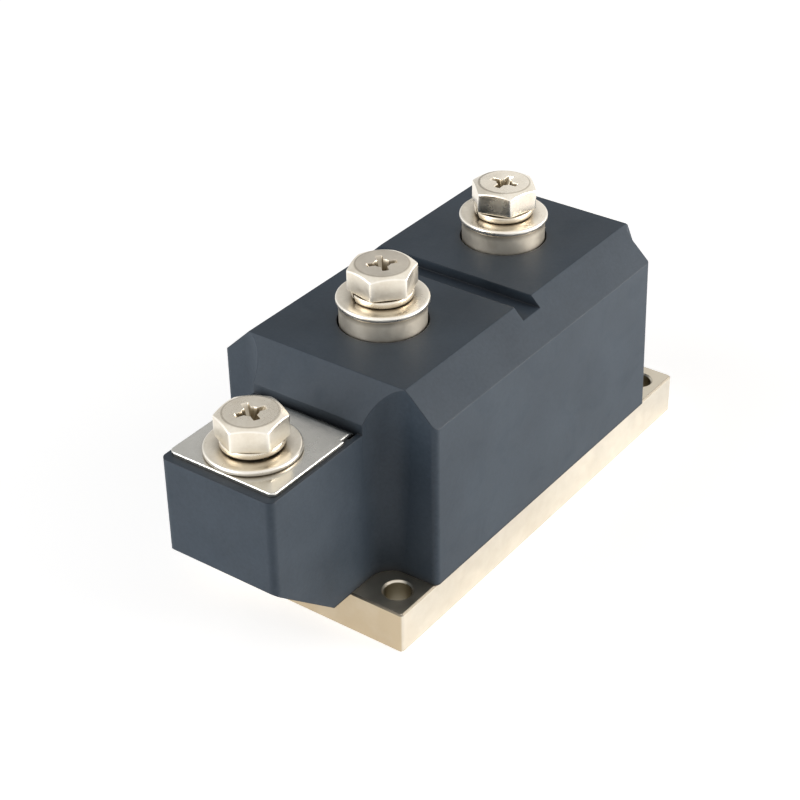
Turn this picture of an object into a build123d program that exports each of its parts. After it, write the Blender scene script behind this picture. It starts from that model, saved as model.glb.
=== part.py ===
"""Anti-reverse diode module: two press-contact power diodes on one insulated metal base, with a common
front terminal on a moulded block and two round terminal posts through the top of the housing.

Millimetres. The origin is the centre of the base plate's underside, +X runs along the module from the
front block to the far end, and +Z is up.
"""

import math
import os

from build123d import *

# Base plate: nickel-plated copper, with the module's four mounting holes
base_length = 105.0
base_width = 50.0
base_thickness = 9.0
base_corner_radius = 0.8
base_edge_break = 0.35
mount_hole_inset_x = 6.0
mount_hole_inset_y = 5.3
mount_hole_diameter = 5.6
mount_hole_chamfer = 0.4

# Housing: outer form
housing_length = 89.8
housing_width = 50.8
housing_top = 52.0
housing_centre_x = -2.8
front_chamfer_run = 5.95
back_chamfer_run = 3.6
side_chamfer_run = 6.85
chamfer_drop = 6.7
front_notch_depth = 6.3
front_notch_lean = 0.25
front_notch_foot_radius = 5.0
front_notch_top_radius = 7.0
front_edge_radius = 1.2
back_notch_depth = 3.4
back_notch_width = 6.5
back_notch_lean = 1.8
back_notch_radius = 2.0
back_edge_radius = 0.5
groove_width = 6.1
groove_depth = 2.2

# Housing: walls, seal and fits
wall = 2.8
roof = 3.6
collar_wall = 3.6
collar_length = 6.0
post_gap = 0.4
seal_groove_width = 1.0
seal_groove_depth = 0.8

# Front block: carries the common terminal and its captive nut
block_width = 26.0
block_front_reach = 26.8
block_top = 43.1
block_front_height = 20.4
block_skirt_reach = 10.2
block_corner_radius = 1.5
bolt_well_depth = 9.0
front_bolt_setback = 11.0

# Common busbar: one bent strip under both diodes, up through the block and out over the nut
strip_thickness = 0.9
strip_bend_radius = 1.0
strip_creepage = 1.5
waist_inset = 3.3
riser_inset = 1.5
tab_side_inset = 0.75
tab_front_inset = 1.7
tab_neck_reach = 4.6
tab_corner_radius = 1.2
strip_overhang = 13.0
riser_setback = 0.25
slot_clearance = 0.3
doorway_height = 5.0
waist_height = 7.0

# Diode stacks: from the base plate up
stack_centre_x = -2.0
post_pitch = 42.5
ceramic_length = 31.0
ceramic_side_clearance = 0.5
ceramic_thickness = 1.0
lower_disc_diameter = 23.0
lower_disc_thickness = 1.5
wafer_diameter = 22.0
wafer_thickness = 0.5
upper_disc_diameter = 19.0
upper_disc_thickness = 0.9
ring_wall = 2.0
ring_lip = 0.4
ring_clearance = 0.2

# Terminal posts and their insulation
post_diameter = 17.4
post_rise = 4.3
post_edge_break = 0.2
post_foot_diameter = 25.0
post_foot_height = 4.5
post_contact_height = 1.0
bush_flange_thickness = 2.0
bush_wall = 1.4
bush_clearance = 0.2
bush_lip = 1.0
post_seal_width = 1.6
post_seal_height = 2.4
post_seal_clearance = 0.1

# Pressure plates, disc springs and clamp screws
spring_diameter = 29.0
spring_thickness = 1.3
spring_cone = 0.6
springs_per_stack = 3
plate_length = 27.0
plate_side_clearance = 1.8
plate_thickness = 6.0
plate_corner_radius = 4.0
screw_inset_x = 4.0
screw_inset_y = 4.3
screw_diameter = 5.0
screw_head_diameter = 8.5
screw_head_height = 5.0
screw_socket = 4.0
screw_socket_depth = 2.6
screw_clearance = 0.25
screw_engagement = 5.6
screw_hole_spare = 0.9

# Terminal bolts, washers and the captive nut
bolt_diameter = 8.0
bolt_length = 16.0
bolt_tip_chamfer = 0.9
head_across_flats = 12.3
head_height = 5.0
head_crown_diameter = 10.6
head_crown_angle = 25.0
thread_clearance = 0.15
tapped_depth = 15.0
recess_length = 6.2
recess_floor_length = 2.0
recess_width = 1.3
recess_depth = 2.8
recess_core_diameter = 3.2
spring_washer_diameter = 12.3
spring_washer_thickness = 1.9
spring_washer_gap = 0.9
spring_washer_slant = 28.0
washer_diameter = 18.5
washer_bore = 8.6
washer_thickness = 1.2
washer_edge_break = 0.25
nut_across_flats = 13.0
nut_height = 6.5
nut_clearance = 0.15
nut_edge_chamfer = 0.6

# Silicone gel
gel_height = 8.0

# Turn of each bolt head's corner, its cross recess and its spring washer's split, in degrees from +X
bolt_turns = {"front": (5.5, 62.0, -28.0), "middle": (17.5, 50.0, 150.0), "far": (44.0, 3.0, 150.0)}

# Places worked out from the sizes above
front_wall_x = housing_centre_x - housing_length / 2
back_wall_x = housing_centre_x + housing_length / 2
inner_width = housing_width - 2 * wall
inner_length = housing_length - 2 * wall
mount_pitch_x = base_length - 2 * mount_hole_inset_x
mount_pitch_y = base_width - 2 * mount_hole_inset_y
riser_width = block_width - 2 * riser_inset
waist_width = block_width - 2 * waist_inset
tab_width = block_width - 2 * tab_side_inset
plate_width = inner_width - 2 * plate_side_clearance
screw_pitch_x = plate_length - 2 * screw_inset_x
screw_pitch_y = plate_width - 2 * screw_inset_y
ceramic_width = screw_pitch_y - screw_diameter - 2 * ceramic_side_clearance
strip_width = ceramic_width - 2 * strip_creepage
corner_notches = [
    dict(
        end=-1,
        wall_x=front_wall_x + front_notch_depth,
        wall_y=block_width / 2,
        lean=front_notch_lean,
        foot_radius=front_notch_foot_radius,
        top_radius=front_notch_top_radius,
        edge_radius=front_edge_radius,
    ),
    dict(
        end=1,
        wall_x=back_wall_x - back_notch_depth,
        wall_y=housing_width / 2 - back_notch_width,
        lean=back_notch_lean,
        foot_radius=back_notch_radius,
        top_radius=back_notch_radius,
        edge_radius=back_edge_radius,
    ),
]
block_front_x = front_wall_x - block_front_reach
post_x = {"middle": stack_centre_x - post_pitch / 2, "far": stack_centre_x + post_pitch / 2}
ceramic_top = base_thickness + ceramic_thickness
strip_top = ceramic_top + strip_thickness
wafer_bottom = strip_top + lower_disc_thickness
wafer_top = wafer_bottom + wafer_thickness
post_foot_z = wafer_top + upper_disc_thickness
post_flange_z = post_foot_z + post_foot_height
post_top = housing_top + post_rise
spring_bottom = post_flange_z + bush_flange_thickness
spring_top = spring_bottom + springs_per_stack * (spring_thickness + spring_cone)
plate_top = spring_top + plate_thickness
bush_bore = post_diameter + 2 * bush_clearance
bush_diameter = bush_bore + 2 * bush_wall
plate_bore = bush_diameter + 2 * bush_clearance
post_hole = post_diameter + 2 * post_gap
collar_diameter = post_hole + 2 * collar_wall
collar_bottom = housing_top - roof - collar_length
seal_bore = post_diameter + 2 * post_seal_clearance
seal_diameter = seal_bore + 2 * post_seal_width
ring_bore = lower_disc_diameter + 2 * ring_clearance
riser_back_x = front_wall_x - riser_setback
riser_x = riser_back_x - strip_thickness / 2
tab_z = block_top + strip_thickness / 2
tab_top = block_top + strip_thickness
tab_front_x = block_front_x + tab_front_inset
front_bolt_x = block_front_x + front_bolt_setback
waist_top = base_thickness + waist_height
gel_top = base_thickness + gel_height
screw_bottom = base_thickness - screw_engagement
screw_hole_bottom = screw_bottom - screw_hole_spare
thread_bore = bolt_diameter + 2 * thread_clearance


def cylinder(diameter, bottom, top, x=0.0, y=0.0):
    """Upright round solid between two heights."""
    return Pos(x, y, (bottom + top) / 2) * Cylinder(diameter / 2, top - bottom)


def block(length, width, bottom, top, x=0.0, y=0.0):
    """Upright box between two heights, centred on x and y."""
    return Pos(x, y, (bottom + top) / 2) * Box(length, width, top - bottom)


def prism(sketch, bottom, top):
    """Upright solid of a plan sketch between two heights."""
    return extrude(Pos(0, 0, bottom) * sketch, top - bottom)


def turned(points):
    """Solid of revolution about Z from (radius, height) points."""
    outline = make_face(Plane.XZ * Polyline(*points, close=True))
    return revolve(outline, Axis.Z)


def hexagon(across_flats, turn=0.0):
    """Hexagon with one corner turned from +X."""
    return Rot(0, 0, turn) * RegularPolygon(across_flats / 2, 6, major_radius=False)


def chamfered_envelope(length, width, bottom, top):
    """Long body whose top edges are cut back by the housing's chamfers, on its sides and its ends."""
    half_length, half_width, shoulder = length / 2, width / 2, top - chamfer_drop
    along = Polyline(
        (-half_length, bottom),
        (half_length, bottom),
        (half_length, shoulder),
        (half_length - back_chamfer_run, top),
        (front_chamfer_run - half_length, top),
        (-half_length, shoulder),
        close=True,
    )
    across = Polyline(
        (-half_width, bottom),
        (half_width, bottom),
        (half_width, shoulder),
        (half_width - side_chamfer_run, top),
        (side_chamfer_run - half_width, top),
        (-half_width, shoulder),
        close=True,
    )
    side_view = extrude(make_face(Plane.XZ * along), width / 2, both=True)
    end_view = extrude(make_face(Plane.YZ * across), length / 2, both=True)
    return Pos(housing_centre_x, 0, 0) * (side_view & end_view)


def notch_plan(notch, side, radius, shift=0.0, grow=0.0):
    """Plan of one corner notch over a mounting hole, with its round inner corner."""
    reach = housing_length
    end = notch["end"]
    inner_x = notch["wall_x"] - shift - end * grow
    inner_y = side * (notch["wall_y"] - grow)
    corner = Pos(inner_x + end * reach / 2, inner_y + side * reach / 2) * Rectangle(reach, reach)
    inner = corner.vertices().sort_by_distance((inner_x, inner_y))[0]
    return fillet(inner, radius + grow)


def notches(grow=0.0):
    """The four corner notches: each one's end wall leans from its foot to its top."""
    lofts = []
    for side in (-1, 1):
        for notch in corner_notches:
            foot = notch_plan(notch, side, notch["foot_radius"], grow=grow)
            top = notch_plan(notch, side, notch["top_radius"], shift=notch["lean"], grow=grow)
            lofts.append(loft([Pos(0, 0, base_thickness) * foot, Pos(0, 0, housing_top) * top]))
    return Part() + lofts


def rounded_rectangle(length, width, radius, x=0.0, y=0.0):
    """Plan rectangle with round corners."""
    return Pos(x, y) * RectangleRounded(length, width, radius)


def slot_plan(width):
    """Plan of the slot that the busbar's riser stands in, from its outer side back to the housing's cavity."""
    front = riser_back_x - strip_thickness - slot_clearance
    back = front_wall_x + wall
    return Pos((front + back) / 2, 0) * Rectangle(back - front, width + 2 * slot_clearance)


def slot_mouth():
    """Lead-in at the slot's top front edge, where the riser bends forward."""
    front = riser_back_x - strip_thickness - slot_clearance
    wedge = Polyline(
        (front, block_top),
        (front, block_top - strip_bend_radius),
        (front - strip_bend_radius, block_top),
        close=True,
    )
    return extrude(make_face(Plane.XZ * wedge), riser_width / 2 + slot_clearance, both=True)


def cavity_plan():
    """Plan of the housing's hollow: its outline set in by the wall, clear of the notches."""
    hollow = Pos(housing_centre_x, 0) * Rectangle(inner_length, inner_width)
    for side in (-1, 1):
        for notch in corner_notches:
            hollow -= notch_plan(notch, side, notch["foot_radius"], grow=wall)
    return hollow


def make_base_plate():
    """Flat plate with four through holes and the blind holes of the clamp screws."""
    plate = prism(rounded_rectangle(base_length, base_width, base_corner_radius), 0, base_thickness)
    plate = chamfer(plate.faces().sort_by(Axis.Z)[-1].edges(), base_edge_break)
    for spot in GridLocations(mount_pitch_x, mount_pitch_y, 2, 2):
        x, y = spot.position.X, spot.position.Y
        radius, mouth = mount_hole_diameter / 2, mount_hole_diameter / 2 + mount_hole_chamfer
        hole = turned([
            (0, 0),
            (mouth, 0),
            (radius, mount_hole_chamfer),
            (radius, base_thickness - mount_hole_chamfer),
            (mouth, base_thickness),
            (0, base_thickness),
        ])
        plate -= Pos(x, y, 0) * hole
    for x, y in clamp_screw_spots():
        plate -= cylinder(screw_diameter + 2 * thread_clearance, screw_hole_bottom, base_thickness, x, y)
    return plate


def clamp_screw_spots():
    """Places of all the clamp screws."""
    return [
        (x + dx * screw_pitch_x / 2, dy * screw_pitch_y / 2)
        for x in post_x.values()
        for dx in (-1, 1)
        for dy in (-1, 1)
    ]


def make_front_block():
    """Block in front of the housing: a side profile with a sloping underside, its front corners rounded."""
    rear_x = front_wall_x + wall
    profile = Polyline(
        (block_front_x, block_top - block_front_height),
        (front_wall_x - block_skirt_reach, base_thickness),
        (rear_x, base_thickness),
        (rear_x, block_top),
        (block_front_x, block_top),
        close=True,
    )
    body = extrude(make_face(Plane.XZ * profile), block_width / 2, both=True)
    front_edges = body.edges().filter_by(Axis.Z).sort_by(Axis.X)[:2]
    return fillet(front_edges, block_corner_radius)


def make_housing():
    """Moulded housing: chamfered shell with corner notches, front block, top groove, collars and slots."""
    shell = chamfered_envelope(housing_length, housing_width, base_thickness, housing_top)
    shell -= notches()
    for notch in corner_notches:
        for side in (-1, 1):
            corner = (notch["wall_x"], side * housing_width / 2, base_thickness)
            upright = shell.edges().filter_by(lambda edge: edge.bounding_box().size.Z > chamfer_drop)
            shell = fillet(upright.sort_by_distance(corner)[0], notch["edge_radius"])
    shell += make_front_block()

    hollow = chamfered_envelope(inner_length, inner_width, base_thickness, housing_top - roof)
    hollow -= notches(wall)
    for x in post_x.values():
        hollow -= cylinder(collar_diameter, collar_bottom, housing_top, x)
    shell -= hollow

    shell -= block(groove_width, housing_width, housing_top - groove_depth, housing_top, stack_centre_x)
    for x in post_x.values():
        shell -= cylinder(post_hole, collar_bottom, housing_top, x)
        shell -= cylinder(seal_diameter, collar_bottom, collar_bottom + post_seal_height, x)

    riser_slot = slot_plan(riser_width) - Pos(front_wall_x + wall, 0) * Rectangle(2 * wall, block_width)
    shell -= prism(riser_slot, waist_top, block_top)
    shell -= slot_mouth()
    waist_slot = slot_plan(waist_width) - Pos(front_wall_x + wall, 0) * Rectangle(2 * wall, block_width)
    shell -= prism(waist_slot, base_thickness, waist_top)
    shell -= prism(slot_plan(waist_width), base_thickness, base_thickness + doorway_height)

    pocket = prism(hexagon(nut_across_flats + 2 * nut_clearance), block_top - nut_height, block_top)
    shell -= Pos(front_bolt_x, 0, 0) * pocket
    well_bottom = block_top - nut_height - bolt_well_depth
    shell -= cylinder(thread_bore, well_bottom, block_top - nut_height, front_bolt_x)

    shell -= prism(seal_plan(), base_thickness, base_thickness + seal_groove_depth)
    return shell


def seal_plan():
    """Ring that runs round the housing's foot, centred in its wall."""
    opening = cavity_plan() + slot_plan(waist_width)
    inset = (wall - seal_groove_width) / 2
    outer = offset(opening, inset + seal_groove_width, kind=Kind.INTERSECTION)
    inner = offset(opening, inset, kind=Kind.INTERSECTION)
    return outer - inner


def make_housing_seal():
    """Bead of sealant in the housing's foot groove."""
    return prism(seal_plan(), base_thickness, base_thickness + seal_groove_depth)


def make_common_busbar():
    """Strip bent twice: flat under both diodes, up in the block's slot and forward over the nut."""
    strip_z = ceramic_top + strip_thickness / 2
    path = FilletPolyline(
        (post_x["far"] + strip_overhang, strip_z),
        (riser_x, strip_z),
        (riser_x, tab_z),
        (tab_front_x, tab_z),
        radius=strip_bend_radius + strip_thickness / 2,
    )
    bent = extrude(Plane.XZ * trace(path, strip_thickness), strip_width, both=True)

    far_x = post_x["far"] + strip_overhang
    flat_length = post_pitch + 2 * strip_overhang
    keep = block(flat_length, strip_width, 0, waist_top, far_x - flat_length / 2)
    keep += block(far_x - tab_front_x, waist_width, 0, waist_top, (far_x + tab_front_x) / 2)
    neck_x = front_wall_x - tab_neck_reach
    keep += block(tab_neck_reach + wall, riser_width, waist_top, housing_top, neck_x + (tab_neck_reach + wall) / 2)
    tab = rounded_rectangle(2 * (neck_x - tab_front_x), tab_width, tab_corner_radius, neck_x)
    tab -= Pos(neck_x + block_front_reach, 0) * Rectangle(2 * block_front_reach, 2 * tab_width)
    keep += prism(tab, waist_top, housing_top)
    bar = bent & keep
    return bar - cylinder(washer_bore, block_top, tab_top, front_bolt_x)


def make_captive_nut():
    """Hexagon nut with both ends' corners chamfered."""
    nut = prism(hexagon(nut_across_flats), block_top - nut_height, block_top)
    corner = nut_across_flats / math.sqrt(3)
    nut &= Pos(0, 0, block_top - nut_height) * turned([
        (0, 0),
        (nut_across_flats / 2, 0),
        (corner, nut_edge_chamfer),
        (corner, nut_height - nut_edge_chamfer),
        (nut_across_flats / 2, nut_height),
        (0, nut_height),
    ])
    nut -= cylinder(thread_bore, block_top - nut_height, block_top)
    return Pos(front_bolt_x, 0, 0) * nut


def make_chip_ring(x):
    """Locating ring round the lower disc and the wafer, with a thin inner lip over the lower disc."""
    outer = ring_bore / 2 + ring_wall
    lip = wafer_diameter / 2 + ring_clearance
    top = wafer_bottom + ring_lip
    return Pos(x, 0, 0) * turned([
        (ring_bore / 2, strip_top),
        (outer, strip_top),
        (outer, top),
        (lip, top),
        (lip, wafer_bottom),
        (ring_bore / 2, wafer_bottom),
    ])


def make_terminal_post(x):
    """Turned copper post: contact face, foot flange, long shank and tapped end."""
    foot, shank = post_foot_diameter / 2, post_diameter / 2
    contact = upper_disc_diameter / 2
    bore = thread_bore / 2
    post = turned([
        (0, post_foot_z),
        (contact, post_foot_z),
        (foot, post_foot_z + post_contact_height),
        (foot, post_flange_z),
        (shank, post_flange_z),
        (shank, post_top - post_edge_break),
        (shank - post_edge_break, post_top),
        (bore, post_top),
        (bore, post_top - tapped_depth),
        (0, post_top - tapped_depth - bore / math.sqrt(3)),
    ])
    return Pos(x, 0, 0) * post


def make_insulating_bush(x):
    """Flanged sleeve that keeps the springs and the pressure plate off the live post."""
    bore, sleeve = bush_bore / 2, bush_diameter / 2
    top = plate_top + bush_lip
    flange = post_foot_diameter / 2
    return Pos(x, 0, 0) * turned([
        (bore, post_flange_z),
        (flange, post_flange_z),
        (flange, spring_bottom),
        (sleeve, spring_bottom),
        (sleeve, top),
        (bore, top),
    ])


def make_disc_springs(x):
    """Stack of coned disc springs, each turned over on the one below."""
    inner, outer = plate_bore / 2, spring_diameter / 2
    springs = []
    for index in range(springs_per_stack):
        low = spring_bottom + index * (spring_thickness + spring_cone)
        rise_in, rise_out = (spring_cone, 0) if index % 2 else (0, spring_cone)
        springs.append(Pos(x, 0, low) * turned([
            (inner, rise_in),
            (outer, rise_out),
            (outer, rise_out + spring_thickness),
            (inner, rise_in + spring_thickness),
        ]))
    return Compound(children=springs)


def make_pressure_plate(x):
    """Steel plate with a round hole for the post and four screw holes."""
    plate = prism(rounded_rectangle(plate_length, plate_width, plate_corner_radius, x), spring_top, plate_top)
    plate -= cylinder(plate_bore, spring_top, plate_top, x)
    for spot_x, spot_y in clamp_screw_spots():
        plate -= cylinder(screw_diameter + 2 * screw_clearance, spring_top, plate_top, spot_x, spot_y)
    return plate


def make_clamp_screws(x):
    """Four socket-head screws that pull the pressure plate down to the base."""
    screws = []
    for spot_x, spot_y in clamp_screw_spots():
        if abs(spot_x - x) < screw_pitch_x:
            screw = cylinder(screw_diameter, screw_bottom, plate_top)
            screw += cylinder(screw_head_diameter, plate_top, plate_top + screw_head_height)
            head_top = plate_top + screw_head_height
            screw -= prism(hexagon(screw_socket), head_top - screw_socket_depth, head_top)
            screws.append(Pos(spot_x, spot_y, 0) * screw)
    return Compound(children=screws)


def make_post_seal(x):
    """Rubber ring between the housing's collar and the post."""
    ring = cylinder(seal_diameter, collar_bottom, collar_bottom + post_seal_height, x)
    return ring - cylinder(seal_bore, collar_bottom, collar_bottom + post_seal_height, x)


def cross_recess(top):
    """Cross recess: two crossed slots whose ends slope in towards the floor, round a conical core."""
    half, floor = recess_length / 2, recess_floor_length / 2
    wing = Polyline((-half, top), (half, top), (floor, top - recess_depth), (-floor, top - recess_depth), close=True)
    arm = extrude(make_face(Plane.XZ * wing), recess_width / 2, both=True)
    core = turned([
        (0, top),
        (recess_core_diameter / 2, top),
        (floor, top - recess_depth),
        (0, top - recess_depth),
    ])
    return arm + Rot(0, 0, 90) * arm + core


def make_terminal_bolt(x, seat, corner_turn, recess_turn):
    """Hexagon-head bolt with a cross recess, its crown chamfered and its tip chamfered."""
    top = seat + head_height
    head = prism(hexagon(head_across_flats, corner_turn), seat, top)
    crown = head_crown_diameter / 2
    corner = head_across_flats / math.sqrt(3) + thread_clearance
    drop = (corner - crown) * math.tan(math.radians(head_crown_angle))
    head &= turned([(0, seat), (corner, seat), (corner, top - drop), (crown, top), (0, top)])
    head -= Rot(0, 0, recess_turn) * cross_recess(top)
    shank, tip = bolt_diameter / 2, seat - bolt_length
    head += turned([
        (0, tip),
        (shank - bolt_tip_chamfer, tip),
        (shank, tip + bolt_tip_chamfer),
        (shank, seat),
        (0, seat),
    ])
    return Pos(x, 0, 0) * head


def make_spring_washer(x, bottom, split_turn):
    """Square-section ring cut through once by a slanting gap."""
    outer, inner = spring_washer_diameter / 2, washer_bore / 2
    ring = cylinder(2 * outer, bottom, bottom + spring_washer_thickness)
    ring -= cylinder(2 * inner, bottom, bottom + spring_washer_thickness)
    cutter = Box(outer, spring_washer_gap, 3 * spring_washer_thickness)
    middle = bottom + spring_washer_thickness / 2
    cutter = Pos((outer + inner) / 2, 0, middle) * Rot(spring_washer_slant, 0, 0) * cutter
    return Pos(x, 0, 0) * (ring - Rot(0, 0, split_turn) * cutter)


def make_plain_washer(x, bottom):
    """Punched washer with its edges broken."""
    outer, inner, edge = washer_diameter / 2, washer_bore / 2, washer_edge_break
    top = bottom + washer_thickness
    return Pos(x, 0, 0) * turned([
        (inner, bottom),
        (outer - edge, bottom),
        (outer, bottom + edge),
        (outer, top - edge),
        (outer - edge, top),
        (inner, top),
    ])


def make_silicone_gel(inside):
    """Gel poured round the diode stacks: the cavity's lower part, less everything that stands in it."""
    gel = prism(Pos(housing_centre_x, 0) * Rectangle(inner_length, inner_width), base_thickness, gel_top)
    gel -= notches(wall)
    for solid in inside:
        gel -= solid
    return gel.solids().sort_by(SortBy.VOLUME)[-1]


nodes = {
    "base_plate": make_base_plate(),
    "housing": make_housing(),
    "housing_seal": make_housing_seal(),
    "common_busbar": make_common_busbar(),
    "captive_nut": make_captive_nut(),
}
for stack, x in post_x.items():
    nodes[f"{stack}_ceramic_insulator"] = block(ceramic_length, ceramic_width, base_thickness, ceramic_top, x)
    nodes[f"{stack}_lower_molybdenum_disc"] = cylinder(lower_disc_diameter, strip_top, wafer_bottom, x)
    nodes[f"{stack}_silicon_diode"] = cylinder(wafer_diameter, wafer_bottom, wafer_top, x)
    nodes[f"{stack}_upper_molybdenum_disc"] = cylinder(upper_disc_diameter, wafer_top, post_foot_z, x)
    nodes[f"{stack}_chip_ring"] = make_chip_ring(x)
    nodes[f"{stack}_terminal_post"] = make_terminal_post(x)
    nodes[f"{stack}_insulating_bush"] = make_insulating_bush(x)
    nodes[f"{stack}_disc_springs"] = make_disc_springs(x)
    nodes[f"{stack}_pressure_plate"] = make_pressure_plate(x)
    nodes[f"{stack}_clamp_screws"] = make_clamp_screws(x)
    nodes[f"{stack}_post_seal"] = make_post_seal(x)
for place, (corner_turn, recess_turn, split_turn) in bolt_turns.items():
    x = post_x.get(place, front_bolt_x)
    bottom = post_top if place in post_x else tab_top
    seat = bottom + washer_thickness + spring_washer_thickness
    nodes[f"{place}_plain_washer"] = make_plain_washer(x, bottom)
    nodes[f"{place}_spring_washer"] = make_spring_washer(x, bottom + washer_thickness, split_turn)
    nodes[f"{place}_terminal_bolt"] = make_terminal_bolt(x, seat, corner_turn, recess_turn)
nodes["silicone_gel"] = make_silicone_gel([
    solid for name, solid in nodes.items() if name not in ("base_plate", "housing", "housing_seal")
])

os.makedirs("parts", exist_ok=True)
for name, solid in nodes.items():
    export_step(solid, f"parts/{name}.step")
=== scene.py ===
"""Studio looks of the anti-reverse diode module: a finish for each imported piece, and rounded, threaded
terminal hardware in place of the plain solids.

Metres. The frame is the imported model's own: the origin lies under the base plate's centre, +X runs to the
far end and +Z is up.
"""

import math

import bpy
import numpy as np
from bpy.props import FloatProperty, FloatVectorProperty, IntProperty, PointerProperty
from mathutils import Matrix, Vector


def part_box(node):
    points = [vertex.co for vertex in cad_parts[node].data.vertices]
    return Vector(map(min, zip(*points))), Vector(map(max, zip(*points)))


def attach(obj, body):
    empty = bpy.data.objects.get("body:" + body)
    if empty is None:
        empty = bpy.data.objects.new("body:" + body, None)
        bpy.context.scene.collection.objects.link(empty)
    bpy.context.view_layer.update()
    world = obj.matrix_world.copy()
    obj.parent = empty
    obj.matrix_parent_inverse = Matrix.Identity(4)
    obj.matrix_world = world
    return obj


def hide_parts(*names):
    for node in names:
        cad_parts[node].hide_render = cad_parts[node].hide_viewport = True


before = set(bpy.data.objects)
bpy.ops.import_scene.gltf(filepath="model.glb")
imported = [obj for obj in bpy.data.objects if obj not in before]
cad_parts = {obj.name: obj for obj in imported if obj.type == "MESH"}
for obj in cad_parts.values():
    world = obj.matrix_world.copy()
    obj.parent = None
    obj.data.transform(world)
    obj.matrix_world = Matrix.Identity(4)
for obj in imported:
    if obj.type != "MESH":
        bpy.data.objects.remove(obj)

bl_info = {
    "name": "Diode Module Looks",
    "version": (1, 0, 0),
    "blender": (4, 5, 0),
    "location": "3D View > Sidebar > Diode Module",
    "description": "Builds the finishes, terminal hardware and studio of a power diode module",
    "category": "Object",
}

MILLIMETRE = 0.001
ORIGIN = (0.0, 0.0, 0.0)
PLACES = ("front", "middle", "far")
STACKS = ("middle", "far")

# Turn of each bolt head's corner, its cross recess and its spring washer's split, in degrees from +X
BOLT_TURNS = {"front": (5.5, 62.0, -28.0), "middle": (17.5, 50.0, 150.0), "far": (44.0, 3.0, 150.0)}

# Brightness of the base against the plate's, and of each terminal's hardware, whose own amount is painted
# light for what that terminal catches; each bolt's roughness range, and the share of painted shade on its
# head's flat top
BASE_TONE = 0.97
BOLT_TONES = {"front": 1.11, "middle": 1.13, "far": 1.15}
BOLT_ROUGHNESS = {"front": (0.24, 0.34), "middle": (0.30, 0.40), "far": (0.14, 0.22)}
TOP_SHADE_SHARE = {"front": 0.05, "middle": 0.40, "far": 0.0}

# Linear colours of painted shade: on the heads' flat tops, on the metal in creases, under the washers and
# round the crowns, in the recesses and in the moulding's creases; and of the moulding's darker painted edge
# line
TOP_PAINTED_SHADE = (0.42, 0.37, 0.31)
METAL_CREASE = (0.17, 0.13, 0.08)
RECESS_SHADE = (0.33, 0.28, 0.19)
MOULDING_CREASE = (0.003, 0.004, 0.006)
MOULDING_EDGE = (0.010, 0.016, 0.026)

# How far below a post's top the painted shadow under its washer starts
WASHER_SHADE = 1.4 * MILLIMETRE

# Thread: depth as a share of the pitch, how far the flanks' wave is stretched and cut, how many pitches
# under the head it runs out, and the grid rows in each pitch
THREAD_DEPTH = 0.58
THREAD_STRETCH = 1.3
THREAD_CREST = 0.12
THREAD_RUN_OUT = 0.4
PITCH_ROWS = 10

# Head: how strongly columns gather at the corners, the share of the crown's radius where the rounded rim
# ends, the rings inside it, the steps of each rounding, and how closely the painted highlight keeps to the
# corners
CORNER_GATHER = 1.7
INNER_TOP = 0.9
TOP_RINGS = 60
RIM_STEPS = 6
CORNER_HIGHLIGHT = 6

# Cross recess: slope of the arms' sides, softness of its creases, and how soon its mask is full
RECESS_SIDE_SLOPE = 7.0
RECESS_SOFTNESS = 0.12 * MILLIMETRE
RECESS_MASK_GAIN = 3.0

# Masks: gain of the edge mask, share of slow clouds in the mottle, spans of the smears' noise and of how
# open a crease is, and the growth of sharp and soft borders in each metre
EDGE_GAIN = 4.0
CLOUD_SHARE = 0.65
SMEAR_SPAN = (0.48, 0.66)
OPEN_SPAN = (0.35, 0.95)
SHARP_BORDER = 20000.0
SOFT_BORDER = 5000.0

# Stage: radii of the floor's outer and inner ring, its grid and height, the distances between which it
# whitens, the card's grid, and the azimuths in degrees where its tone changes on its far and near side
FLOOR_RADII = (6.0, 0.01)
FLOOR_RINGS = 24
FLOOR_COLUMNS = 96
FLOOR_HEIGHT = -0.02 * MILLIMETRE
FLOOR_WHITENS = (0.15, 0.6)
CARD_RINGS = 23
CARD_COLUMNS = 64
CARD_FAR_BORDER = (33.5, 35.5)
CARD_NEAR_BORDER = (38.5, 41.0)

# Softboxes: name, place, the setting that holds the power, side in metres and tint
LAMPS = (
    ("right_softbox", (0.24, -0.56, 0.10), "right_power", 0.30, (1.0, 0.955, 0.90)),
    ("far_softbox", (0.55, -0.42, 0.10), "far_power", 0.30, (1.0, 0.955, 0.90)),
    ("front_softbox", (-0.60, 0.25, 0.16), "front_power", 0.40, (1.0, 0.99, 0.975)),
    ("left_softbox", (-0.46, 0.40, 0.46), "left_power", 0.30, (1.0, 1.0, 1.0)),
)
LAMP_TARGET = (0.0, 0.0, 0.025)


def number(name, description, value, **options):
    """A number setting."""
    return FloatProperty(name=name, description=description, default=value, **options)


def length(name, description, millimetres):
    """A length setting, given in millimetres and kept in metres."""
    metres = millimetres * MILLIMETRE
    return number(name, description, metres, min=0.0, precision=5, subtype="DISTANCE", unit="LENGTH")


def turn(name, description, degrees):
    """An angle setting, given in degrees and kept in radians."""
    return number(name, description, math.radians(degrees), subtype="ANGLE", unit="ROTATION")


def power(name, description, watts):
    """A lamp's power setting, in watts."""
    return number(name, description, watts, min=0.0, unit="POWER")


def colour(name, description, rgb):
    """A linear colour setting."""
    return FloatVectorProperty(
        name=name, description=description, default=rgb, min=0.0, max=1.0, subtype="COLOR",
    )


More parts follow.
